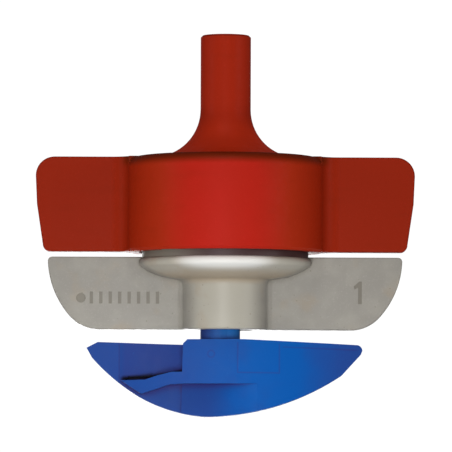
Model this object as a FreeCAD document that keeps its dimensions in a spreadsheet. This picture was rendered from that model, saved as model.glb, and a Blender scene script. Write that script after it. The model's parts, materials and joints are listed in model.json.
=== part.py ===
"""Bridgeless spinning micro-sprinkler, hanging from its inlet stem.

Frame: millimetres, +Z up.  The origin is on the stem's axis at its end face, so the
whole sprinkler lies at negative Z.  X runs along the finger wings and -Y is the front.

inlet_body      stem, flare, cup and two finger wings; the holder twists into the cup
nozzle_insert   sized orifice, pressed into the boss inside the cup
swivel_holder   neck with two bayonet lugs, bowl, column and two finger wings
neck_seal_ring  ring in the neck's groove
bearing_sleeve  flanged sleeve in the column that the swivel's shaft turns in
thrust_washer   washer between the sleeve's flange and the collar
retaining_collar  pressed on the shaft's spigot, it keeps the swivel from falling out
swivel          half-moon fin with its jet passage, neck and hollow shaft
"""
import FreeCAD, Part
import math
import os
import re
import Sketcher

Vector = FreeCAD.Vector

# Driving dimensions: millimetres, angles in degrees.  A "depth" is a distance below the
# origin, so its Z is the same number with a minus sign.
DIMENSIONS = {
    "stem_radius": 3.15,
    "stem_chamfer": 0.25,
    "stem_depth": 9.3,
    "inlet_passage_radius": 1.9,
    "flare_radius": 6.0,
    "cup_radius": 12.4,
    "cup_rim_radius": 1.4,
    "cup_edge": 0.3,
    "cup_top_depth": 15.3,
    "cup_ceiling_depth": 17.3,
    "cup_bottom_depth": 27.25,
    "cup_bore_radius": 10.52,
    "boss_radius": 3.6,
    "boss_bottom_depth": 22.6,
    "nozzle_radius": 2.4,
    "nozzle_top_depth": 18.2,
    "orifice_radius": 0.7,
    "orifice_top_depth": 20.8,
    "orifice_bottom_depth": 22.1,
    "orifice_mouth_radius": 1.3,
    "lug_radius": 11.3,
    "lug_root_radius": 9.8,
    "lug_top_depth": 21.3,
    "lug_bottom_depth": 22.9,
    "lug_angle": 12.0,
    "slot_radius": 11.45,
    "slot_root_radius": 10.2,
    "slot_top_depth": 21.1,
    "slot_bottom_depth": 23.1,
    "slot_play": 0.7,
    "entry_radius": 11.6,
    "entry_top_depth": 21.0,
    "twist_angle": 50.0,
    "wing_half_thickness": 1.1,
    "inlet_wing_edge": 0.2,
    "holder_wing_edge": 0.15,
    "trim_margin": 2.0,
    "inlet_wing_root": 10.9,
    "inlet_wing_corner": 2.37,
    "inlet_wing_heel": 0.9,
    "inlet_wing_blend": 2.2,
    "neck_radius": 10.42,
    "neck_bore_radius": 8.2,
    "neck_top_depth": 18.4,
    "groove_top_depth": 19.0,
    "groove_bottom_depth": 20.6,
    "groove_radius": 9.3,
    "bowl_radius": 10.85,
    "bowl_top_depth": 28.025,
    "bowl_rim_radius": 0.6,
    "bowl_turn_radius": 10.594,
    "bowl_turn_depth": 29.09,
    "bowl_section_radius": 8.68,
    "bowl_foot_radius": 6.1,
    "bowl_foot_depth": 30.65,
    "column_radius": 5.46,
    "column_fillet": 0.7,
    "column_edge": 0.3,
    "column_bottom_depth": 36.94,
    "chamber_floor_depth": 28.2,
    "relief_radius": 3.45,
    "relief_top_depth": 34.9,
    "holder_wing_root": 9.5,
    "holder_wing_inner": 4.4,
    "holder_wing_step_depth": 29.4,
    "holder_wing_corner": 0.55,
    "holder_wing_side_radius": 11.0,
    "holder_wing_heel_radius": 5.0,
    "holder_wing_blend": 0.8,
    "column_blend_depth": 30.3,
    "mark_depth": 0.12,
    "dot_radius": 0.6,
    "tick_pitch": 1.18,
    "tick_width": 0.42,
    "tick_height": 1.5,
    "ring_centre_radius": 9.9,
    "ring_section_radius": 0.57,
    "ring_depth": 19.8,
    "sleeve_radius": 2.9,
    "sleeve_bore_radius": 1.97,
    "sleeve_flange_radius": 4.2,
    "sleeve_flange_depth": 27.4,
    "sleeve_bottom_depth": 34.6,
    "washer_radius": 3.9,
    "washer_bore_radius": 1.95,
    "washer_top_depth": 26.82,
    "washer_bottom_depth": 27.38,
    "collar_radius": 3.8,
    "collar_chamfer": 0.4,
    "spigot_radius": 1.6,
    "shaft_radius": 1.9,
    "shaft_passage_radius": 0.95,
    "shaft_top_depth": 24.3,
    "collar_seat_depth": 26.8,
    "shaft_foot_depth": 39.0,
    "passage_end_depth": 41.9,
    "rotor_neck_radius": 2.2,
    "rotor_neck_offset": -0.87,
    "rotor_neck_top_depth": 36.3,
    "outlet_radius": 0.85,
    "outlet_offset": -1.0,
    "outlet_depth": 41.1,
    "outlet_reach": 6.5,
    "web_thickness": 1.4,
    "hull_front": 3.6,
    "hull_back": 3.2,
    "lens_half_span": 18.0,
    "lens_front_end": 0.35,
    "lens_front_radius": 58.3,
    "lens_back_end": 0.9,
    "lens_back_radius": 86.2,
    "lens_margin": 5.0,
    "lens_height": 12.0,
    "keel_clearance_depth": 49.0,
    "left_arc_radius": 19.5,
    "left_side_radius": 25.0,
    "right_arc_radius": 31.0,
    "hull_split_x": -5.45,
    "nose_radius": 0.75,
    "setback_top_depth": 43.68,
    "ramp_start": -8.0,
    "ramp_end": 6.2,
    "ramp_depth": 3.2,
    "scoop_start": -13.2,
    "scoop_end": -5.0,
    "scoop_radius": 17.0,
    "scoop_top_depth": 37.5,
    "scoop_bottom_depth": 43.4,
    "slot_cut_depth": 1.6,
    "core_floor": 1.2,
    "core_reach": 4.0,
    "core_top_depth": 39.8,
    "rib_thickness": 2.6,
}

# Corners of the flat outlines as (x, z).
OUTLINE_POINTS = {
    "inlet_wing_crest": (21.35, -15.3),
    "inlet_wing_shoulder": (23.72, -17.67),
    "inlet_wing_waist": (23.56, -21.2),
    "inlet_wing_heel_end": (22.8, -26.3),
    "inlet_wing_sole": (21.95, -27.2),
    "holder_wing_crest": (21.6, -27.85),
    "holder_wing_top": (22.16, -28.4),
    "holder_wing_turn": (19.45, -35.22),
    "holder_wing_sole": (15.69, -36.94),
    "numeral_foot_left": (16.63, -33.68),
    "numeral_foot_right": (17.1, -33.68),
    "numeral_head_right": (17.1, -30.85),
    "numeral_head_left": (16.78, -30.85),
    "numeral_flag_tip": (16.08, -31.5),
    "numeral_flag_end": (16.22, -31.85),
    "numeral_flag_root": (16.63, -31.6),
    "dot_centre": (-18.0, -33.0),
    "tick_first": (-16.9, -33.7),
    "fin_tip_left": (-17.3, -39.2),
    "fin_crest_left": (-15.9, -38.48),
    "fin_web_inner": (-3.0, -38.86),
    "fin_keel": (-2.48, -47.81),
    "fin_side_low": (-10.6, -45.4),
    "fin_side_high": (-16.6, -40.45),
    "hull_step_low": (-5.2, -38.71),
    "hull_step_high": (-4.66, -38.18),
    "hull_crown": (2.4, -38.15),
    "hull_nose_top": (16.4, -38.78),
    "hull_nose": (17.2, -39.5),
    "hull_chin": (17.0, -40.0),
    "hull_corner": (14.6, -42.62),
    "ledge_tip": (-12.98, -43.3),
    "ledge_bend_low": (-9.91, -43.21),
    "ledge_bend_mid": (-8.35, -42.68),
    "ledge_bend_high": (-6.6, -42.24),
    "ledge_root_top": (-4.6, -42.22),
    "ledge_root_bottom": (-4.6, -43.68),
    "ledge_under_high": (-6.79, -43.78),
    "ledge_under_mid": (-8.35, -44.31),
    "ledge_under_tip": (-10.41, -44.98),
    "slot_tip": (-12.7, -43.27),
    "core_inner_left": (3.6, -45.6),
    "core_inner_right": (7.4, -44.8),
    "core_outer_left": (8.6, -44.2),
    "core_outer_right": (12.2, -42.7),
    "slot_crest_left": (-11.9, -42.78),
    "slot_crest_right": (-9.3, -42.74),
    "rib_top_left": (-14.0, -42.2),
    "rib_top_right": (-5.0, -42.2),
    "rib_bottom_right": (-5.0, -43.9),
    "rib_bottom_left": (-12.4, -43.9),
}

TICKS = 8
# Two lengths closer than this are the same length.
SAME = 1e-4


def blend_sizes(name, radius, half, blend):
    """Where a blend between an upright cylinder and a flat wing leaves each of them."""
    reach = radius + blend
    centre = math.sqrt(reach ** 2 - (half + blend) ** 2)
    return {
        name + "_wing_x": centre,
        name + "_round_x": centre * radius / reach,
        name + "_round_y": (half + blend) * radius / reach,
    }


def ramp_sizes():
    """Middle and radius of a ramp made of two equal arcs, level at both of its ends."""
    run = (DIMENSIONS["ramp_end"] - DIMENSIONS["ramp_start"]) / 2
    rise = DIMENSIONS["ramp_depth"] / 2
    return {
        "ramp_middle": DIMENSIONS["ramp_start"] + run,
        "ramp_radius": (run ** 2 + rise ** 2) / (2 * rise),
    }


def split_height():
    """Height at which the web's lower arc passes the hull's left side."""
    (keel_x, keel_z), (side_x, side_z) = OUTLINE_POINTS["fin_keel"], OUTLINE_POINTS["fin_side_low"]
    radius = DIMENSIONS["left_arc_radius"]
    run, rise = side_x - keel_x, side_z - keel_z
    chord = math.hypot(run, rise)
    inset = math.sqrt(radius ** 2 - (chord / 2) ** 2)
    centre_x = (keel_x + side_x) / 2 + inset * rise / chord
    centre_z = (keel_z + side_z) / 2 - inset * run / chord
    return centre_z - math.sqrt(radius ** 2 - (DIMENSIONS["hull_split_x"] - centre_x) ** 2)


def bound(text):
    """Turn a sum of dimension names into a spreadsheet expression."""
    return re.sub(r"[a-z]\w*", r"dims.\g<0>", text)


def fill_sheet(document):
    """Put every dimension in the spreadsheet, one row each."""
    sheet = document.addObject("Spreadsheet::Sheet", "dims")
    cells = dict(DIMENSIONS)
    half = DIMENSIONS["wing_half_thickness"]
    cells.update(blend_sizes("inlet_blend", DIMENSIONS["cup_radius"], half,
                             DIMENSIONS["inlet_wing_blend"]))
    cells.update(blend_sizes("holder_blend", DIMENSIONS["column_radius"], half,
                             DIMENSIONS["holder_wing_blend"]))
    cells.update(ramp_sizes())
    cells["hull_split_z"] = split_height()
    for name, (across, up) in OUTLINE_POINTS.items():
        cells[name + "_x"] = across
        cells[name + "_z"] = up
    for row, (alias, value) in enumerate(cells.items(), 1):
        sheet.set("A%d" % row, alias.replace("_", " "))
        sheet.set("B%d" % row, str(value))
        sheet.setAlias("B%d" % row, alias)
    document.recompute()
    return sheet


def size(name):
    """Return one dimension's value."""
    return sheet.evalExpression(bound(name))


def corner(point, *arc):
    """A corner at a named outline point; arc is a radius name and a side."""
    return (point + "_x", point + "_z") + arc


def mirrored(corners):
    """The same outline on the other side of the YZ plane."""
    flipped = {"left": "right", "right": "left"}
    return [("-(%s)" % item[0], item[1]) + tuple(flipped.get(word, word) for word in item[2:])
            for item in corners]


def origin_plane(body, role):
    """Return one of the body's own origin planes."""
    return next(plane for plane in body.Origin.OriginFeatures if plane.Role == role)


def add_sketch(body, name, role, offset=None, turn=None):
    """Add a sketch on an origin plane; offset lifts it, turn swings an XZ sketch about Z."""
    sketch = body.newObject("Sketcher::SketchObject", name)
    sketch.AttachmentSupport = [(origin_plane(body, role), "")]
    sketch.MapMode = "FlatFace"
    if turn is not None:
        swing = FreeCAD.Rotation(Vector(0, 1, 0), turn)
        sketch.AttachmentOffset = FreeCAD.Placement(Vector(), swing)
    if offset is not None:
        sketch.setExpression("AttachmentOffset.Base.z", bound(offset))
    return sketch


def pin_point(sketch, geometry, end, across, up):
    """Hold a point of the sketch at two spreadsheet values."""
    for kind, text in (("DistanceX", across), ("DistanceY", up)):
        rule = Sketcher.Constraint(kind, -1, 1, geometry, end, size(text))
        index = sketch.addConstraint(rule)
        sketch.setExpression("Constraints[%d]" % index, bound(text))


def draw_edge(sketch, start, end, arc):
    """Draw one edge; return its geometry and which of its ends is the start."""
    if not arc:
        return sketch.addGeometry(Part.LineSegment(start, end)), 1
    radius = size(arc[0])
    side = 1 if arc[1] == "left" else -1
    chord = end - start
    across = Vector(-chord.y, chord.x, 0).normalize()
    rise = math.sqrt(max(radius ** 2 - (chord.Length / 2) ** 2, 0))
    centre = (start + end) / 2 - across * rise * side
    first, last = (end, start) if side > 0 else (start, end)
    angles = [math.atan2(point.y - centre.y, point.x - centre.x) for point in (first, last)]
    if angles[1] < angles[0]:
        angles[1] += 2 * math.pi
    circle = Part.Circle(centre, Vector(0, 0, 1), radius)
    geometry = sketch.addGeometry(Part.ArcOfCircle(circle, *angles))
    index = sketch.addConstraint(Sketcher.Constraint("Radius", geometry, radius))
    sketch.setExpression("Constraints[%d]" % index, bound(arc[0]))
    return geometry, 2 if side > 0 else 1


def draw_outline(sketch, corners):
    """Draw a closed outline; a corner with a radius and a side starts an arc that way."""
    places = [Vector(size(item[0]), size(item[1]), 0) for item in corners]
    edges = []
    for index, item in enumerate(corners):
        following = places[(index + 1) % len(places)]
        edges.append(draw_edge(sketch, places[index], following, item[2:]))
    for index, (geometry, start) in enumerate(edges):
        before, before_start = edges[index - 1]
        rule = Sketcher.Constraint("Coincident", before, 3 - before_start, geometry, start)
        sketch.addConstraint(rule)
        pin_point(sketch, geometry, start, *corners[index][:2])


def draw_circle(sketch, across, up, radius):
    """Draw a circle at two spreadsheet values."""
    centre = Vector(size(across), size(up), 0)
    circle = Part.Circle(centre, Vector(0, 0, 1), size(radius))
    geometry = sketch.addGeometry(circle)
    pin_point(sketch, geometry, 3, across, up)
    index = sketch.addConstraint(Sketcher.Constraint("Radius", geometry, size(radius)))
    sketch.setExpression("Constraints[%d]" % index, bound(radius))


def add_feature(body, kind, name, bindings=None, **settings):
    """Add a PartDesign feature, make it the tip and check what it did to the volume."""
    before = body.Shape.Volume if body.Tip else 0
    made = body.newObject("PartDesign::" + kind, name)
    for setting, wanted in settings.items():
        setattr(made, setting, wanted)
    for setting, text in (bindings or {}).items():
        made.setExpression(setting, bound(text))
    body.Tip = made
    body.Document.recompute()
    change = body.Shape.Volume - before
    takes = kind in ("Pocket", "Groove")
    if (takes and change >= 0) or (kind in ("Pad", "Revolution") and change <= 0):
        raise ValueError("%s: %s changed the volume by %.4f" % (body.Label, name, change))
    return made


def revolve(body, name, corners, kind="Revolution", angle=None, middle=False, turn=None):
    """Turn an outline in the XZ plane about the Z axis, all round or by an angle."""
    sketch = add_sketch(body, name + "_sketch", "XZ_Plane", turn=turn)
    draw_outline(sketch, corners)
    bindings = {"Angle": angle} if angle else {}
    axis = (sketch, ["V_Axis"])
    return add_feature(body, kind, name, bindings, Profile=sketch, ReferenceAxis=axis,
                       Midplane=middle)


def slab(body, name, outlines, front, back):
    """Pad outlines of the XZ plane by two lengths, towards -Y and towards +Y."""
    sketch = add_sketch(body, name + "_sketch", "XZ_Plane")
    for corners in outlines:
        draw_outline(sketch, corners)
    add_feature(body, "Pad", name, {"Length": front, "Length2": back}, Profile=sketch,
                SideType="Two sides")


def plate(body, name, outlines, floor, thickness):
    """Pad outlines of the XY plane upwards from a level."""
    sketch = add_sketch(body, name + "_sketch", "XY_Plane", offset=floor)
    for corners in outlines:
        draw_outline(sketch, corners)
    add_feature(body, "Pad", name, {"Length": thickness}, Profile=sketch)


def trim(body, name, outlines):
    """Cut outlines of the XZ plane away, right through the body."""
    sketch = add_sketch(body, name + "_sketch", "XZ_Plane")
    for corners in outlines:
        draw_outline(sketch, corners)
    add_feature(body, "Pocket", name, Profile=sketch, Type="ThroughAll", Midplane=True)


def round_edges(body, name, radius, wanted):
    """Round the edges that the test picks out."""
    tip = body.Tip
    names = ["Edge%d" % number for number, edge in enumerate(tip.Shape.Edges, 1) if wanted(edge)]
    if not names:
        raise ValueError("%s: no edge for %s" % (body.Label, name))
    add_feature(body, "Fillet", name, {"Radius": radius}, Base=(tip, names))


def new_body(document, label):
    """Add an empty body whose label names its file."""
    body = document.addObject("PartDesign::Body", label + "_body")
    body.Label = label
    return body


def is_wing_edge(edge, clear_of):
    """True for an edge around a wing's flat face, outside a distance from the axis."""
    box = edge.BoundBox
    face_gap = abs(box.Center.y) - size("wing_half_thickness")
    flat = box.YLength < SAME and abs(face_gap) < SAME
    upright = box.XLength < SAME
    return flat and not upright and abs(box.Center.x) > clear_of


def blended_root(root, blend, blend_radius, end):
    """Plan outline of a wing that leaves an upright cylinder with a blend on each side."""
    half = "wing_half_thickness"
    return [
        (root, blend + "_round_y"),
        (blend + "_round_x", blend + "_round_y", blend_radius, "right"),
        (blend + "_wing_x", half),
        (end, half),
        (end, "-" + half),
        (blend + "_wing_x", "-" + half, blend_radius, "right"),
        (blend + "_round_x", "-%s_round_y" % blend),
        (root, "-%s_round_y" % blend),
    ]


def add_slot(body, name, radius, top, bottom, start, angle):
    """Cut a stretch of ring inside the cup's bore, and its twin across the axis."""
    corners = [("slot_root_radius", "-(%s)" % top), (radius, "-(%s)" % top),
               (radius, "-(%s)" % bottom), ("slot_root_radius", "-(%s)" % bottom)]
    cut = revolve(body, name, corners, kind="Groove", angle=angle, turn=size(start))
    add_twin(body, cut)


def add_twin(body, feature):
    """Repeat a feature once, half a turn round Z."""
    axis = next(item for item in body.Origin.OriginFeatures if item.Role == "Z_Axis")
    add_feature(body, "PolarPattern", feature.Name + "_pair", Originals=[feature],
                Axis=(axis, [""]), Angle=360, Occurrences=2)


def build_inlet_body(document):
    """Stem, flare and cup turned in one, then the wings and the bayonet slots."""
    body = new_body(document, "inlet_body")
    revolve(body, "inlet_turned", [
        ("inlet_passage_radius", "-stem_chamfer"),
        ("inlet_passage_radius + stem_chamfer", "0"),
        ("stem_radius - stem_chamfer", "0"),
        ("stem_radius", "-stem_chamfer"),
        ("stem_radius", "-stem_depth", "flare_radius", "right"),
        ("stem_radius + flare_radius", "-cup_top_depth"),
        ("cup_radius - cup_rim_radius", "-cup_top_depth", "cup_rim_radius", "left"),
        ("cup_radius", "-cup_top_depth - cup_rim_radius"),
        ("cup_radius", "-cup_bottom_depth + cup_edge"),
        ("cup_radius - cup_edge", "-cup_bottom_depth"),
        ("cup_bore_radius + cup_edge", "-cup_bottom_depth"),
        ("cup_bore_radius", "-cup_bottom_depth + cup_edge"),
        ("cup_bore_radius", "-cup_ceiling_depth"),
        ("boss_radius", "-cup_ceiling_depth"),
        ("boss_radius", "-boss_bottom_depth"),
        ("nozzle_radius", "-boss_bottom_depth"),
        ("nozzle_radius", "-nozzle_top_depth"),
        ("inlet_passage_radius", "-nozzle_top_depth"),
    ])
    wing = blended_root("inlet_wing_root", "inlet_blend", "inlet_wing_blend",
                        "inlet_wing_shoulder_x")
    plate(body, "inlet_wings", [wing, mirrored(wing)], "inlet_wing_sole_z",
          "-inlet_wing_sole_z - cup_top_depth")
    outside = [
        corner("inlet_wing_crest", "inlet_wing_corner", "left"),
        corner("inlet_wing_shoulder"),
        corner("inlet_wing_waist"),
        corner("inlet_wing_heel_end", "inlet_wing_heel", "left"),
        corner("inlet_wing_sole"),
        ("inlet_wing_sole_x", "inlet_wing_sole_z - trim_margin"),
        ("inlet_wing_shoulder_x + trim_margin", "inlet_wing_sole_z - trim_margin"),
        ("inlet_wing_shoulder_x + trim_margin", "trim_margin - cup_top_depth"),
        ("inlet_wing_crest_x", "trim_margin - cup_top_depth"),
    ]
    trim(body, "inlet_wing_outline", [outside, mirrored(outside)])
    round_edges(body, "inlet_wing_edges", "inlet_wing_edge",
                lambda edge: is_wing_edge(edge, size("cup_radius")))
    add_slot(body, "bayonet_way", "slot_radius", "slot_top_depth", "slot_bottom_depth",
             "-lug_angle / 2 - slot_play", "twist_angle + lug_angle / 2 + slot_play")
    add_slot(body, "bayonet_entry", "entry_radius", "entry_top_depth",
             "cup_bottom_depth + cup_edge", "twist_angle - lug_angle / 2 - slot_play",
             "lug_angle + 2 * slot_play")
    return body


def build_swivel_holder(document):
    """Neck, bowl and column turned in one, then the lugs, the wings and their marks."""
    body = new_body(document, "swivel_holder")
    revolve(body, "holder_turned", [
        ("neck_bore_radius", "-neck_top_depth"),
        ("neck_radius", "-neck_top_depth"),
        ("neck_radius", "-groove_top_depth"),
        ("groove_radius", "-groove_top_depth"),
        ("groove_radius", "-groove_bottom_depth"),
        ("neck_radius", "-groove_bottom_depth"),
        ("neck_radius", "-bowl_top_depth", "bowl_rim_radius", "left"),
        ("bowl_turn_radius", "-bowl_turn_depth", "bowl_section_radius", "left"),
        ("bowl_foot_radius", "-bowl_foot_depth", "column_fillet", "right"),
        ("column_radius", "-bowl_foot_depth - column_fillet"),
        ("column_radius", "-column_bottom_depth + column_edge", "column_edge", "left"),
        ("column_radius - column_edge", "-column_bottom_depth"),
        ("relief_radius", "-column_bottom_depth"),
        ("relief_radius", "-relief_top_depth"),
        ("sleeve_radius", "-relief_top_depth"),
        ("sleeve_radius", "-chamber_floor_depth"),
        ("neck_bore_radius", "-chamber_floor_depth"),
    ])
    lug = revolve(body, "bayonet_lug", [
        ("lug_root_radius", "-lug_top_depth"),
        ("lug_radius", "-lug_top_depth"),
        ("lug_radius", "-lug_bottom_depth"),
        ("lug_root_radius", "-lug_bottom_depth"),
    ], angle="lug_angle", middle=True)
    add_twin(body, lug)
    wing = [
        ("holder_wing_inner", "-holder_wing_step_depth"),
        ("holder_wing_root", "-holder_wing_step_depth"),
        ("holder_wing_root", "holder_wing_crest_z"),
        corner("holder_wing_crest", "holder_wing_corner", "left"),
        corner("holder_wing_top", "holder_wing_side_radius", "left"),
        corner("holder_wing_turn", "holder_wing_heel_radius", "left"),
        corner("holder_wing_sole"),
        ("holder_wing_inner", "holder_wing_sole_z"),
    ]
    slab(body, "holder_wings", [wing, mirrored(wing)], "wing_half_thickness",
         "wing_half_thickness")
    blend = blended_root("holder_wing_inner", "holder_blend", "holder_wing_blend",
                         "holder_blend_wing_x + holder_wing_edge")
    plate(body, "column_blends", [blend, mirrored(blend)], "holder_wing_sole_z",
          "column_bottom_depth - column_blend_depth")
    round_edges(body, "holder_wing_edges", "holder_wing_edge",
                lambda edge: is_wing_edge(edge, size("bowl_radius")))
    cut_marks(body)
    return body


def cut_marks(body):
    """Sink a cavity numeral in the right wing, and a dot and a row of ticks in the left."""
    sketch = add_sketch(body, "marks_sketch", "XZ_Plane", offset="wing_half_thickness")
    draw_outline(sketch, [corner("numeral_" + place) for place in (
        "foot_left", "foot_right", "head_right", "head_left", "flag_tip", "flag_end",
        "flag_root")])
    draw_circle(sketch, "dot_centre_x", "dot_centre_z", "dot_radius")
    for number in range(TICKS):
        left = "tick_first_x + %d * tick_pitch" % number
        draw_outline(sketch, [
            (left, "tick_first_z"),
            (left + " + tick_width", "tick_first_z"),
            (left + " + tick_width", "tick_first_z + tick_height"),
            (left, "tick_first_z + tick_height"),
        ])
    add_feature(body, "Pocket", "marks", {"Length": "mark_depth"}, Profile=sketch)


def build_turned(document, label, corners):
    """A plain turned piece."""
    body = new_body(document, label)
    revolve(body, label + "_turned", corners)
    return body


def build_nozzle_insert(document):
    """Insert with a cone down to the orifice and a recessed mouth."""
    return build_turned(document, "nozzle_insert", [
        ("inlet_passage_radius", "-nozzle_top_depth"),
        ("nozzle_radius", "-nozzle_top_depth"),
        ("nozzle_radius", "-boss_bottom_depth"),
        ("orifice_mouth_radius", "-boss_bottom_depth"),
        ("orifice_mouth_radius", "-orifice_bottom_depth"),
        ("orifice_radius", "-orifice_bottom_depth"),
        ("orifice_radius", "-orifice_top_depth"),
    ])


def build_bearing_sleeve(document):
    """Sleeve with the flange that carries the thrust washer."""
    return build_turned(document, "bearing_sleeve", [
        ("sleeve_bore_radius", "-sleeve_flange_depth"),
        ("sleeve_flange_radius", "-sleeve_flange_depth"),
        ("sleeve_flange_radius", "-chamber_floor_depth"),
        ("sleeve_radius", "-chamber_floor_depth"),
        ("sleeve_radius", "-sleeve_bottom_depth"),
        ("sleeve_bore_radius", "-sleeve_bottom_depth"),
    ])


def build_thrust_washer(document):
    """Flat washer around the shaft."""
    return build_turned(document, "thrust_washer", [
        ("washer_bore_radius", "-washer_top_depth"),
        ("washer_radius", "-washer_top_depth"),
        ("washer_radius", "-washer_bottom_depth"),
        ("washer_bore_radius", "-washer_bottom_depth"),
    ])


def build_retaining_collar(document):
    """Collar on the shaft's spigot, chamfered at the top."""
    return build_turned(document, "retaining_collar", [
        ("spigot_radius", "-shaft_top_depth"),
        ("collar_radius - collar_chamfer", "-shaft_top_depth"),
        ("collar_radius", "-shaft_top_depth - collar_chamfer"),
        ("collar_radius", "-collar_seat_depth"),
        ("spigot_radius", "-collar_seat_depth"),
    ])


def build_neck_seal_ring(document):
    """Round ring, drawn at the size it has when fitted."""
    ring = document.addObject("Part::Torus", "seal_ring")
    ring.Label = "neck_seal_ring"
    ring.setExpression("Radius1", "dims.ring_centre_radius")
    ring.setExpression("Radius2", "dims.ring_section_radius")
    ring.setExpression("Placement.Base.z", "-dims.ring_depth")
    return ring


def add_shaft(body):
    """Neck, shaft and spigot above the fin, and the water passage through them."""
    sketch = add_sketch(body, "rotor_neck_sketch", "XY_Plane", offset="-shaft_foot_depth")
    draw_circle(sketch, "rotor_neck_offset", "0", "rotor_neck_radius")
    add_feature(body, "Pad", "rotor_neck", {"Length": "shaft_foot_depth - rotor_neck_top_depth"},
                Profile=sketch)
    revolve(body, "shaft", [
        ("0", "-shaft_foot_depth"),
        ("shaft_radius", "-shaft_foot_depth"),
        ("shaft_radius", "-collar_seat_depth"),
        ("spigot_radius", "-collar_seat_depth"),
        ("spigot_radius", "-shaft_top_depth"),
        ("0", "-shaft_top_depth"),
    ])
    revolve(body, "passage", [
        ("0", "-passage_end_depth"),
        ("shaft_passage_radius", "-passage_end_depth"),
        ("shaft_passage_radius", "-shaft_top_depth + trim_margin"),
        ("0", "-shaft_top_depth + trim_margin"),
    ], kind="Groove")
    sketch = add_sketch(body, "outlet_sketch", "YZ_Plane")
    draw_circle(sketch, "outlet_offset", "-outlet_depth", "outlet_radius")
    add_feature(body, "Pocket", "outlet", {"Length": "outlet_reach"}, Profile=sketch)


def cut_setback(body):
    """Set the lower left of the front back to the web, with a smooth ramp up to the hull."""
    sketch = add_sketch(body, "setback_sketch", "XY_Plane", offset="-setback_top_depth")
    draw_outline(sketch, [
        ("-lens_half_span", "0"),
        ("ramp_start", "0", "ramp_radius", "left"),
        ("ramp_middle", "-ramp_depth / 2", "ramp_radius", "right"),
        ("ramp_end", "-ramp_depth"),
        ("ramp_end", "-hull_front - trim_margin"),
        ("-lens_half_span", "-hull_front - trim_margin"),
    ])
    add_feature(body, "Pocket", "setback", {"Length": "lens_margin"}, Profile=sketch)


def add_ledge(body):
    """Ramp-shaped ledge under the jet recess, and the stiffening rib behind the web."""
    ledge = [corner("ledge_" + place) for place in (
        "tip", "bend_low", "bend_mid", "bend_high", "root_top", "root_bottom", "under_high",
        "under_mid", "under_tip")]
    slab(body, "ledge", [ledge], "hull_front", "0")
    rib = [corner("rib_" + place) for place in (
        "top_left", "top_right", "bottom_right", "bottom_left")]
    slab(body, "rib", [rib], "0", "rib_thickness")


def trim_lens(body):
    """Cut the front and back to shallow curves, so that the fin is a lens from above."""
    sketch = add_sketch(body, "lens_sketch", "XY_Plane", offset="-keel_clearance_depth")
    front = "-hull_front - trim_margin"
    back = "hull_back + trim_margin"
    draw_outline(sketch, [
        ("-lens_half_span", "-lens_front_end", "lens_front_radius", "right"),
        ("lens_half_span", "-lens_front_end"),
        ("lens_half_span", front),
        ("-lens_half_span", front),
    ])
    draw_outline(sketch, [
        ("-lens_half_span", "lens_back_end", "lens_back_radius", "left"),
        ("lens_half_span", "lens_back_end"),
        ("lens_half_span", back),
        ("-lens_half_span", back),
    ])
    add_feature(body, "Pocket", "lens", {"Length": "lens_height"}, Profile=sketch, Reversed=True)


def cut_scoop(body):
    """Hollow the web behind the ledge, and open the slot along the ledge's edge."""
    sketch = add_sketch(body, "scoop_sketch", "XY_Plane", offset="-scoop_bottom_depth")
    draw_outline(sketch, [
        ("scoop_start", "0", "scoop_radius", "left"),
        ("scoop_end", "0"),
    ])
    add_feature(body, "Pocket", "scoop", {"Length": "scoop_bottom_depth - scoop_top_depth"},
                Profile=sketch, Reversed=True)
    slot = [corner(place) for place in (
        "slot_tip", "slot_crest_left", "slot_crest_right", "ledge_bend_mid", "ledge_bend_low")]
    sketch = add_sketch(body, "slot_sketch", "XZ_Plane")
    draw_outline(sketch, slot)
    add_feature(body, "Pocket", "slot", {"Length": "slot_cut_depth"}, Profile=sketch)


def cut_cores(body):
    """Core the hull out from the back, so that its walls are even."""
    sketch = add_sketch(body, "cores_sketch", "XZ_Plane", offset="-core_reach")
    for name in ("core_inner", "core_outer"):
        draw_outline(sketch, [
            (name + "_left_x", name + "_left_z"),
            (name + "_left_x", "-core_top_depth"),
            (name + "_right_x", "-core_top_depth"),
            (name + "_right_x", name + "_right_z"),
        ])
    add_feature(body, "Pocket", "cores", {"Length": "core_reach + core_floor"}, Profile=sketch,
                Reversed=True)


def build_swivel(document):
    """Half-moon fin: a thin web on the left, a full hull on the right, and the shaft."""
    body = new_body(document, "swivel")
    web = [
        corner("fin_tip_left"),
        corner("fin_crest_left"),
        corner("fin_web_inner"),
        corner("fin_keel", "left_arc_radius", "left"),
        corner("fin_side_low", "left_side_radius", "left"),
        corner("fin_side_high"),
    ]
    slab(body, "web", [web], "0", "web_thickness")
    hull = [
        corner("hull_step_low"),
        corner("hull_step_high"),
        corner("hull_crown"),
        corner("hull_nose_top", "nose_radius", "left"),
        corner("hull_nose"),
        corner("hull_chin"),
        corner("hull_corner", "right_arc_radius", "left"),
        corner("fin_keel", "left_arc_radius", "left"),
        corner("hull_split"),
    ]
    slab(body, "hull", [hull], "hull_front", "hull_back")
    cut_setback(body)
    add_ledge(body)
    trim_lens(body)
    cut_scoop(body)
    cut_cores(body)
    add_shaft(body)
    return body


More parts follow.
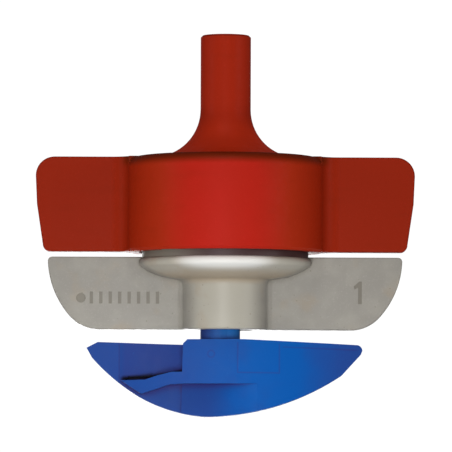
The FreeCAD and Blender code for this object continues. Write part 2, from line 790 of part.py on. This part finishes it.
document = FreeCAD.newDocument("micro_sprinkler")
sheet = fill_sheet(document)
builders = [build_inlet_body, build_nozzle_insert, build_swivel_holder, build_neck_seal_ring,
            build_bearing_sleeve, build_thrust_washer, build_retaining_collar, build_swivel]
bodies = [build(document) for build in builders]
document.recompute()
os.makedirs("parts", exist_ok=True)
for item in document.Objects:
    if "Invalid" in item.State or "Error" in item.State:
        raise ValueError("%s failed: %s" % (item.Label, item.State))
for body in bodies:
    if body.Shape.isNull() or not body.Shape.isValid() or len(body.Shape.Solids) != 1:
        raise ValueError("%s is not one valid solid" % body.Label)
for body in bodies:
    body.Shape.exportStep("parts/%s.step" % body.Label)
    print("%-17s %8.1f mm3" % (body.Label, body.Shape.Volume))
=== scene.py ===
"""Finishes, light and camera for the hanging micro-sprinkler."""
import json
import math

import bpy
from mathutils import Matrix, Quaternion, Vector

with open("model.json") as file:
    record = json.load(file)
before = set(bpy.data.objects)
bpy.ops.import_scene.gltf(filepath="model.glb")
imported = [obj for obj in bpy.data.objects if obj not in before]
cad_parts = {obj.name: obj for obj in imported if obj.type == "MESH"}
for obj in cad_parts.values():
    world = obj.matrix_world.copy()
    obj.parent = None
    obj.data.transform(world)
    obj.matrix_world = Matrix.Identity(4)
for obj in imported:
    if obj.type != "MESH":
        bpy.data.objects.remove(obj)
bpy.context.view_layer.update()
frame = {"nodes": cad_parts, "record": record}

MM = 0.001

# Colours are linear.
# Red of the cup's face, its lit copy; the darker reds below carry painted shade.
RED = (0.395, 0.0130, 0.0066)
# Shaded copy of the red: painted shade on the wings, also used as a warm random tone.
RED_SHADE_AND_WARM_TONE = (0.272, 0.0156, 0.0030)
# Shaded copy of the red: painted shade where the cup's sides turn away.
RED_SIDE_SHADE = (0.350, 0.0200, 0.0034)
# Copy of the red with painted light for the stem.
RED_STEM = (0.345, 0.0185, 0.0045)
# Lighter copy of the red: painted light on the stem's flare.
RED_FLARE_PAINTED_LIGHT = (0.530, 0.0300, 0.0075)
RED_GRAIN = (0.520, 0.030, 0.020)
# Dark brown red: a random darker tone in flow marks, and painted shade in corners and on the cup's
# top edge.
RED_GRIME_AND_SHADE = (0.150, 0.0140, 0.0020)
GREY = (0.272, 0.257, 0.228)
# Paler grey: the column's colour, partly real and partly painted light on its front and back; also
# pale random clouds.
GREY_LIT_AND_PALE = (0.395, 0.374, 0.318)
# Near white: a painted highlight on the bowl's crest.
GREY_PAINTED_HIGHLIGHT = (0.800, 0.800, 0.770)
# Warm brown grey: real stains, and painted shade on the bowl's underside and in the small parts'
# corners.
GREY_STAIN_AND_SHADE = (0.345, 0.262, 0.172)
GREY_GRAIN = (0.42, 0.40, 0.36)
# Dark grey brown: real dark specks and dirt in the sunk marks, and painted shade in tight corners.
GREY_GRIME_AND_SHADE = (0.120, 0.100, 0.066)
# Painted shade on the neck band under the cup, with a painted red reflection toward its right.
NECK_SHADE = (0.030, 0.003, 0.006)
# Lighter painted shade on the neck band's left end.
NECK_LIGHTER_SHADE = (0.170, 0.150, 0.120)
# Blue of the hull's front, its lit copy; the darker blues below carry painted shade.
BLUE = (0.0005, 0.086, 0.375)
# Darker, more violet blue: painted shade on set-back faces and the hull's tips; also dark random
# clouds.
BLUE_SHADE_AND_DARK_TONE = (0.016, 0.058, 0.270)
# Lighter blue: painted light on the rotor's neck.
BLUE_NECK_PAINTED_LIGHT = (0.022, 0.175, 0.520)
# Dark violet: painted shade on the scoop's back wall.
BLUE_SCOOP_SHADE = (0.060, 0.022, 0.170)
BLUE_GRAIN = (0.012, 0.150, 0.500)
# Violet: the mould's witness lines, and painted shade in tight corners.
BLUE_LINES_AND_SHADE = (0.034, 0.014, 0.120)
SLOT_SHADE = (0.001, 0.000, 0.004)
ACETAL = (0.78, 0.77, 0.72)
ACETAL_DULL = (0.70, 0.68, 0.61)
RUBBER = (0.022, 0.022, 0.022)
RUBBER_BLOOM = (0.060, 0.058, 0.055)

# Where a colour starts and where it is full, in millimetres: a height, a radius from the
# stem's axis, or a depth to either side of the wings' middle plane.
CUP_SIDE_DEPTH = (1.8, 4.2)
CUP_FACE_DEPTH = (9.0, 12.2)
STEM_HEIGHT = (-15.7, -14.9)
STEM_RADIUS = (10.8, 8.8)
FLARE_HEIGHT = (-9.8, -13.0)
SHOULDER_HEIGHT = (-16.9, -15.7)
SHOULDER_INNER_RADIUS = (8.8, 11.2)
SHOULDER_OUTER_RADIUS = (13.4, 12.4)
COLUMN_DEPTH = (2.5, 5.0)
CREST_DEPTH = (8.2, 10.4)
CREST_HEIGHT = (-30.3, -29.0)
UNDERSIDE_TOP = (-29.3, -30.4)
UNDERSIDE_FOOT = (-31.6, -30.7)
UNDERSIDE_DEPTH = (1.3, 4.5)
NECK_HEIGHT = (-28.12, -27.98)
NECK_DEPTH = (1.3, 1.6)
NECK_SHADE_X = (-8.5, -1.0)
MARK_FRONT_Y = (-1.07, -1.02)
MARK_FLOOR_Y = (-0.93, -0.96)
MARK_INNER_X = (7.0, 7.2)
MARK_OUTER_X = (18.9, 18.7)
MARK_FOOT_Z = (-34.4, -34.2)
HULL_DEPTH = (0.8, 2.6)
HULL_RIGHT_X = (8.0, 17.5)
HULL_LEFT_X = (4.0, -6.5)
ROTOR_NECK_HEIGHT = (-38.3, -38.0)
SCOOP_FRONT_Y = (0.02, 0.20)
SCOOP_BACK_Y = (1.35, 1.2)
SLOT_Y = (-0.5, -0.1)
FRONT_LINES_Y = (-0.6, -1.0)
RECESS_LINES_Y = (0.7, 0.5)
LINE_WIDTH = 0.16
RING_WIDTH = 0.17

# Lights: place in millimetres, size in millimetres, power in watts.  All are white.
LAMPS = {
    "near_lamp": ((-7, -78, -50), 30, 0.036),
    "front_softbox": ((-40, -560, 60), 200, 0.26),
    "high_softbox": ((-30, -330, 420), 200, 0.62),
    "right_softbox": ((480, -240, 60), 240, 0.55),
    "left_softbox": ((-480, -200, 60), 240, 0.40),
    "back_softbox": ((-120, 540, -130), 300, 1.60),
}
LAMP_AIM = (0, 0, -24)
AMBIENT = 0.10
BACKDROP = 1.05


# Floor and camera place in metres, aim and lens in millimetres, lean in degrees.
FLOOR_HALF = 6.0
FLOOR_LEVEL = -0.9
CAMERA_PLACE = (0.0, -0.625, -0.057)
CAMERA_AIM = (0.1, 0.0, -23.9)
CAMERA_LENS = 398.0
CAMERA_LEAN = 0.2

# Witness lines of the mould on the swivel's front, as ends in X and Z, in millimetres.
WITNESS_LINES = [
    ((1.6, -38.6), (1.6, -42.2)),
    ((1.6, -42.3), (6.8, -42.35)),
    ((6.8, -38.8), (6.8, -42.3)),
    ((7.3, -39.1), (16.6, -39.45)),
]
RECESS_LINE = ((-13.2, -38.6), (-13.2, -43.2))
EJECTOR_CENTRE = (-1.7, -40.0)
EJECTOR_RADIUS = 0.42
# Painted shadow in the slot above the ledge, wide at its open end: ends and width.
SLOT_LINES = [
    ((-12.6, -43.05), (-9.2, -42.72), 0.55),
    ((-9.2, -42.72), (-5.0, -41.98), 0.30),
]


class Paint:
    """A node material on object coordinates in millimetres; each method returns a socket."""

    def __init__(self, name):
        self.material = bpy.data.materials.new(name)
        self.material.use_nodes = True
        self.tree = self.material.node_tree
        self.shader = self.tree.nodes["Principled BSDF"]
        coordinates = self.tree.nodes.new("ShaderNodeTexCoord").outputs["Object"]
        scaled = self.node("ShaderNodeVectorMath", operation="SCALE")
        self.feed(scaled.inputs[0], coordinates)
        scaled.inputs["Scale"].default_value = 1 / MM
        self.place = scaled.outputs[0]
        split = self.node("ShaderNodeSeparateXYZ")
        self.feed(split.inputs[0], self.place)
        self.x, self.y, self.z = split.outputs
        self.depth = self.math("ABSOLUTE", self.y)
        self.radius = self.length(self.x, self.y)

    def node(self, kind, **settings):
        made = self.tree.nodes.new(kind)
        for setting, value in settings.items():
            setattr(made, setting, value)
        return made

    def feed(self, socket, value):
        if isinstance(value, bpy.types.NodeSocket):
            self.tree.links.new(value, socket)
        else:
            socket.default_value = value

    def math(self, operation, *values):
        made = self.node("ShaderNodeMath", operation=operation)
        for socket, value in zip(made.inputs, values):
            self.feed(socket, value)
        return made.outputs[0]

    def times(self, *values):
        """The product of several values."""
        total = values[0]
        for value in values[1:]:
            total = self.math("MULTIPLY", total, value)
        return total

    def length(self, across, up):
        """The length of a flat vector."""
        squares = self.math("ADD", self.math("POWER", across, 2.0), self.math("POWER", up, 2.0))
        return self.math("SQRT", squares)

    def step(self, value, low, high, start=0.0, end=1.0):
        """Goes smoothly from start at low to end at high."""
        made = self.node("ShaderNodeMapRange", interpolation_type="SMOOTHSTEP")
        for socket, wanted in zip(made.inputs, (value, low, high, start, end)):
            self.feed(socket, wanted)
        return made.outputs[0]

    def mix(self, factor, first, second):
        made = self.node("ShaderNodeMix", data_type="RGBA")
        self.feed(made.inputs["Factor"], factor)
        for name, colour in (("A", first), ("B", second)):
            socket = next(item for item in made.inputs if item.name == name
                          and item.type == "RGBA")
            self.feed(socket, colour if isinstance(colour, bpy.types.NodeSocket)
                      else (*colour, 1.0))
        return next(item for item in made.outputs if item.type == "RGBA")

    def noise(self, size, detail=2.0, stretch=(1, 1, 1)):
        """Noise of about 0 to 1 whose lumps measure this many millimetres."""
        mapping = self.node("ShaderNodeMapping")
        self.feed(mapping.inputs["Vector"], self.place)
        mapping.inputs["Scale"].default_value = stretch
        made = self.node("ShaderNodeTexNoise")
        self.feed(made.inputs["Vector"], mapping.outputs[0])
        made.inputs["Scale"].default_value = 1 / size
        made.inputs["Detail"].default_value = detail
        return made.outputs[0]

    def specks(self, spacing, radius):
        """1 inside small scattered dots, 0 elsewhere."""
        made = self.node("ShaderNodeTexVoronoi")
        self.feed(made.inputs["Vector"], self.place)
        made.inputs["Scale"].default_value = 1 / spacing
        return self.step(made.outputs["Distance"], radius / spacing, 0.5 * radius / spacing)

    def crevice(self, reach):
        """1 in a tight inside corner, 0 on an open face."""
        made = self.node("ShaderNodeAmbientOcclusion", samples=8)
        made.inputs["Distance"].default_value = reach * MM
        return self.step(made.outputs["AO"], 0.95, 0.30)

    def line(self, start, end, width):
        """1 along a straight line in the XZ plane, 0 beside it."""
        run, rise = end[0] - start[0], end[1] - start[1]
        length = math.hypot(run, rise)
        along_x, along_z = run / length, rise / length
        dx = self.math("SUBTRACT", self.x, start[0])
        dz = self.math("SUBTRACT", self.z, start[1])
        along = self.math("ADD", self.math("MULTIPLY", dx, along_x),
                          self.math("MULTIPLY", dz, along_z))
        across = self.math("SUBTRACT", self.math("MULTIPLY", dx, along_z),
                           self.math("MULTIPLY", dz, along_x))
        middle = self.math("SUBTRACT", along, length / 2)
        over = self.math("MAXIMUM", self.math("SUBTRACT", self.math("ABSOLUTE", middle),
                                              length / 2), 0.0)
        return self.step(self.length(across, over), width, 0.0)

    def ring(self, centre, radius, width):
        """1 along a circle in the XZ plane, 0 beside it."""
        dx = self.math("SUBTRACT", self.x, centre[0])
        dz = self.math("SUBTRACT", self.z, centre[1])
        gap = self.math("SUBTRACT", self.length(dx, dz), radius)
        return self.step(self.math("ABSOLUTE", gap), width, 0.0)

    def finish(self, colour, roughness, height, depth, specular=0.5):
        """Connect the colour, the roughness and a relief this many millimetres deep."""
        self.feed(self.shader.inputs["Base Color"], colour)
        self.feed(self.shader.inputs["Roughness"], roughness)
        self.shader.inputs["Specular IOR Level"].default_value = specular
        bump = self.node("ShaderNodeBump")
        bump.inputs["Distance"].default_value = depth * MM
        self.feed(bump.inputs["Height"], height)
        self.feed(self.shader.inputs["Normal"], bump.outputs[0])
        return self.material


def strongest(paint, masks):
    """The strongest of several masks."""
    total = masks[0]
    for mask in masks[1:]:
        total = paint.math("MAXIMUM", total, mask)
    return total


def moulded_relief(paint, grain, finer):
    """Relief of moulded plastic: its grain with a finer grain on top."""
    return paint.math("ADD", paint.times(grain, 0.7), paint.times(paint.noise(finer, 1.0), 0.3))


def red_plastic():
    """Moulded red plastic: fine matt grain, with painted light and shade: a lit cup face, warmer
    darker painted shade on the wings and cup sides, a lightened stem flare, and browner painted
    shade in its corners and on the cup's top edge.
    """
    paint = Paint("inlet_red_moulded")
    grain = paint.noise(0.22, 3.0)
    cloud = paint.noise(3.2, 2.0)
    flow = paint.noise(2.0, 2.0, stretch=(0.3, 1.0, 1.6))
    # Painted light and shade: the cup's face is lit red, its sides and the wings get shaded copies.
    body = paint.mix(paint.step(paint.depth, *CUP_SIDE_DEPTH), RED_SHADE_AND_WARM_TONE, RED_SIDE_SHADE)
    body = paint.mix(paint.step(paint.depth, *CUP_FACE_DEPTH), body, RED)
    # Painted light: the stem and its flare get lighter copies of the red.
    above = paint.times(paint.step(paint.z, *STEM_HEIGHT), paint.step(paint.radius, *STEM_RADIUS))
    stem = paint.mix(paint.step(paint.z, *FLARE_HEIGHT), RED_STEM, RED_FLARE_PAINTED_LIGHT)
    body = paint.mix(above, body, stem)
    body = paint.mix(paint.times(paint.step(cloud, 0.35, 0.7), 0.12), body, RED_SHADE_AND_WARM_TONE)
    body = paint.mix(paint.times(paint.step(grain, 0.55, 0.80), 0.25), body, RED_GRAIN)
    body = paint.mix(paint.times(paint.step(flow, 0.45, 0.25), 0.08), body, RED_GRIME_AND_SHADE)
    # Painted shade: browner red on the cup's top edge and in tight corners.
    shoulder_shade = paint.times(paint.step(paint.z, *SHOULDER_HEIGHT),
                           paint.step(paint.radius, *SHOULDER_INNER_RADIUS),
                           paint.step(paint.radius, *SHOULDER_OUTER_RADIUS))
    shade_and_dirt = strongest(paint, [paint.times(paint.crevice(1.6), 0.60), paint.times(shoulder_shade, 0.95)])
    colour = paint.mix(shade_and_dirt, body, RED_GRIME_AND_SHADE)
    roughness = paint.step(paint.noise(0.6, 2.0), 0.3, 0.7, 0.40, 0.54)
    return paint.finish(colour, roughness, moulded_relief(paint, grain, 0.09), 0.006, specular=0.05)


def sunk_marks(paint):
    """1 on the floors of the marks sunk in the front of the holder's wings, 0 elsewhere."""
    across = paint.math("ABSOLUTE", paint.x)
    return paint.times(paint.step(paint.y, *MARK_FRONT_Y), paint.step(paint.y, *MARK_FLOOR_Y),
                       paint.step(across, *MARK_INNER_X), paint.step(across, *MARK_OUTER_X),
                       paint.step(paint.z, *MARK_FOOT_Z))


def grey_plastic():
    """Pale grey plastic with dark specks, warm stains and dirt held in the sunk marks, and painted
    light and shade: a paler lit column, a painted highlight on the bowl's crest, and painted shade
    on the bowl's underside, in corners and on the neck band.
    """
    paint = Paint("holder_grey_moulded")
    grain = paint.noise(0.20, 3.0)
    cloud = paint.noise(2.6, 3.0)
    stain = paint.noise(4.5, 4.0)
    # The column is paler than the wings: partly its own colour, partly painted light.
    body = paint.mix(paint.step(paint.depth, *COLUMN_DEPTH), GREY, GREY_LIT_AND_PALE)
    body = paint.mix(paint.times(paint.step(cloud, 0.35, 0.68), 0.25), body, GREY_LIT_AND_PALE)
    body = paint.mix(paint.times(paint.step(stain, 0.54, 0.72), 0.35), body, GREY_STAIN_AND_SHADE)
    body = paint.mix(paint.times(paint.step(grain, 0.55, 0.80), 0.30), body, GREY_GRAIN)
    # Painted highlight along the front and back of the bowl's crest.
    crest_highlight = paint.times(paint.step(paint.depth, *CREST_DEPTH), paint.step(paint.z, *CREST_HEIGHT))
    body = paint.mix(paint.times(crest_highlight, 0.80), body, GREY_PAINTED_HIGHLIGHT)
    # Painted shade: the bowl's underside is warmer and darker.
    underside_shade = paint.times(paint.step(paint.z, *UNDERSIDE_TOP), paint.step(paint.z, *UNDERSIDE_FOOT),
                        paint.step(paint.depth, *UNDERSIDE_DEPTH))
    body = paint.mix(paint.times(underside_shade, 0.65), body, GREY_STAIN_AND_SHADE)
    spots = paint.times(paint.specks(0.85, 0.11), paint.step(cloud, 0.42, 0.60))
    body = paint.mix(paint.times(spots, 0.45), body, GREY_GRIME_AND_SHADE)
    # Painted shade in tight corners, and dirt in the sunk marks.
    shade_and_dirt = strongest(paint, [paint.times(paint.crevice(1.0), 0.55),
                              paint.times(sunk_marks(paint), 0.50)])
    body = paint.mix(shade_and_dirt, body, GREY_GRIME_AND_SHADE)
    # Painted shade and red reflection on the holder's neck band under the cup's rim.
    neck = paint.times(paint.step(paint.z, *NECK_HEIGHT), paint.step(paint.depth, *NECK_DEPTH))
    shade = paint.mix(paint.step(paint.x, *NECK_SHADE_X), NECK_LIGHTER_SHADE, NECK_SHADE)
    colour = paint.mix(paint.times(neck, 0.95), body, shade)
    roughness = paint.step(paint.noise(0.7, 2.0), 0.3, 0.7, 0.36, 0.42)
    return paint.finish(colour, roughness, moulded_relief(paint, grain, 0.08), 0.005, specular=0.25)


def mould_lines(paint):
    """1 along the mould's witness lines and ejector ring on the swivel, 0 elsewhere."""
    lines = [paint.line(*ends, LINE_WIDTH) for ends in WITNESS_LINES]
    lines.append(paint.ring(EJECTOR_CENTRE, EJECTOR_RADIUS, RING_WIDTH))
    front = paint.times(strongest(paint, lines), paint.step(paint.y, *FRONT_LINES_Y))
    recess = paint.times(paint.line(*RECESS_LINE, LINE_WIDTH),
                         paint.step(paint.y, *RECESS_LINES_Y))
    return strongest(paint, [front, recess])


def blue_plastic():
    """Blue plastic, clear azure on the hull, with painted shade: darker and more violet where it is
    set back, at its tips, in the scoop and in corners, a painted shadow in the slot, and painted
    light on the rotor's neck.
    """
    paint = Paint("swivel_blue_moulded")
    grain = paint.noise(0.24, 3.0)
    cloud = paint.noise(3.6, 2.0)
    # Painted shade: set-back faces are darker and more violet than the front of the hull.
    body = paint.mix(paint.step(paint.depth, *HULL_DEPTH), BLUE_SHADE_AND_DARK_TONE, BLUE)
    # Painted light: the rotor's neck is lighter.
    body = paint.mix(paint.step(paint.z, *ROTOR_NECK_HEIGHT), body, BLUE_NECK_PAINTED_LIGHT)
    # Painted shade in the scoop.
    scoop_shade = paint.times(paint.step(paint.y, *SCOOP_FRONT_Y), paint.step(paint.y, *SCOOP_BACK_Y))
    body = paint.mix(paint.times(scoop_shade, 0.60), body, BLUE_SCOOP_SHADE)
    body = paint.mix(paint.times(paint.step(cloud, 0.40, 0.72), 0.30), body, BLUE_SHADE_AND_DARK_TONE)
    # Painted shade: the hull's tips are darker.
    ends = strongest(paint, [paint.step(paint.x, *HULL_RIGHT_X), paint.step(paint.x, *HULL_LEFT_X)])
    body = paint.mix(paint.times(ends, 0.75), body, BLUE_SHADE_AND_DARK_TONE)
    body = paint.mix(paint.times(paint.step(grain, 0.58, 0.82), 0.20), body, BLUE_GRAIN)
    marks = mould_lines(paint)
    body = paint.mix(paint.times(marks, 0.32), body, BLUE_LINES_AND_SHADE)
    # Painted shade in tight corners, violet.
    body = paint.mix(paint.times(paint.crevice(1.4), 0.85), body, BLUE_LINES_AND_SHADE)
    # Painted shadow in the slot above the ledge.
    slot = strongest(paint, [paint.line(*ends_and_width) for ends_and_width in SLOT_LINES])
    slot = paint.times(slot, paint.step(paint.y, *SLOT_Y))
    colour = paint.mix(paint.times(slot, 0.95), body, SLOT_SHADE)
    roughness = paint.step(paint.noise(0.8, 2.0), 0.3, 0.7, 0.42, 0.54)
    height = paint.math("SUBTRACT", paint.times(grain, 0.35), paint.times(marks, 0.65))
    return paint.finish(colour, roughness, height, 0.010, specular=0.06)


def pale_acetal():
    """Slick off-white plastic of the small running parts."""
    paint = Paint("acetal_turned")
    cloud = paint.noise(1.2, 2.0)
    body = paint.mix(paint.step(cloud, 0.35, 0.70), ACETAL, ACETAL_DULL)
    # Painted shade: warm darkening in tight corners.
    colour = paint.mix(paint.times(paint.crevice(0.6), 0.5), body, GREY_STAIN_AND_SHADE)
    roughness = paint.step(paint.noise(0.5, 2.0), 0.3, 0.7, 0.28, 0.38)
    rings = paint.noise(0.12, 1.0, stretch=(0.2, 0.2, 3.0))
    return paint.finish(colour, roughness, rings, 0.006)


def black_rubber():
    """Matt seal rubber with a dusty bloom."""
    paint = Paint("seal_rubber_matt")
    bloom = paint.noise(0.7, 3.0)
    colour = paint.mix(paint.step(bloom, 0.45, 0.75), RUBBER, RUBBER_BLOOM)
    roughness = paint.step(bloom, 0.3, 0.7, 0.62, 0.80)
    return paint.finish(colour, roughness, paint.noise(0.10, 2.0), 0.010, specular=0.3)


def paint_nodes():
    """Give every CAD node the finish of its record slot."""
    finishes = {
        "inlet_red": red_plastic(),
        "holder_grey": grey_plastic(),
        "swivel_blue": blue_plastic(),
        "acetal": pale_acetal(),
        "seal_rubber": black_rubber(),
    }
    for subpart in frame["record"]["subparts"]:
        for slot in frame["nodes"][subpart["node"]].material_slots:
            slot.material = finishes[subpart["material_slot"]]


def add_lamp(name, place, size, power):
    """A round soft light aimed at the middle of the sprinkler, out of the camera's sight."""
    data = bpy.data.lights.new(name, "AREA")
    data.shape = "DISK"
    data.size = size * MM
    data.energy = power
    lamp = bpy.data.objects.new(name, data)
    lamp.location = Vector(place) * MM
    aim = Vector(LAMP_AIM) * MM - lamp.location
    lamp.rotation_euler = aim.to_track_quat("-Z", "Y").to_euler()
    lamp.visible_camera = False
    bpy.context.scene.collection.objects.link(lamp)


def add_world():
    """White backdrop with a gentler ambient light of its own."""
    world = bpy.data.worlds.new("studio")
    world.use_nodes = True
    tree = world.node_tree
    tree.nodes.clear()
    output = tree.nodes.new("ShaderNodeOutputWorld")
    blend = tree.nodes.new("ShaderNodeMixShader")
    path = tree.nodes.new("ShaderNodeLightPath")
    for socket, strength in ((blend.inputs[1], AMBIENT), (blend.inputs[2], BACKDROP)):
        glow = tree.nodes.new("ShaderNodeBackground")
        glow.inputs["Color"].default_value = (1.0, 1.0, 1.0, 1.0)
        glow.inputs["Strength"].default_value = strength
        tree.links.new(glow.outputs[0], socket)
    tree.links.new(path.outputs["Is Camera Ray"], blend.inputs[0])
    tree.links.new(blend.outputs[0], output.inputs[0])
    bpy.context.scene.world = world


def add_floor():
    """Plain pale floor, well below the hanging sprinkler."""
    mesh = bpy.data.meshes.new("studio_floor")
    turns = ((-1, -1), (1, -1), (1, 1), (-1, 1))
    corners = [(FLOOR_HALF * along, FLOOR_HALF * across, FLOOR_LEVEL) for along, across in turns]
    mesh.from_pydata(corners, [], [(0, 1, 2, 3)])
    floor = bpy.data.objects.new("studio_floor", mesh)
    material = bpy.data.materials.new("studio_floor_pale")
    material.use_nodes = True
    shader = material.node_tree.nodes["Principled BSDF"]
    shader.inputs["Base Color"].default_value = (0.86, 0.86, 0.85, 1.0)
    shader.inputs["Roughness"].default_value = 0.9
    shader.inputs["Emission Color"].default_value = (1.0, 1.0, 1.0, 1.0)
    shader.inputs["Emission Strength"].default_value = 0.35
    mesh.materials.append(material)
    bpy.context.scene.collection.objects.link(floor)


def add_camera():
    """Long lens in front of the sprinkler, a little below its middle and tilted up."""
    data = bpy.data.cameras.new("camera")
    data.sensor_width = 36.0
    data.lens = CAMERA_LENS
    data.clip_start = 0.01
    data.clip_end = 20.0
    camera = bpy.data.objects.new("camera", data)
    camera.location = CAMERA_PLACE
    aim = Vector(CAMERA_AIM) * MM - camera.location
    lean = Quaternion((0.0, 0.0, 1.0), math.radians(CAMERA_LEAN))
    camera.rotation_euler = (aim.to_track_quat("-Z", "Y") @ lean).to_euler()
    bpy.context.scene.collection.objects.link(camera)
    bpy.context.scene.camera = camera


bpy.context.scene.view_settings.view_transform = "Standard"
paint_nodes()
add_world()
add_floor()
for lamp_name, lamp_settings in LAMPS.items():
    add_lamp(lamp_name, *lamp_settings)
add_camera()
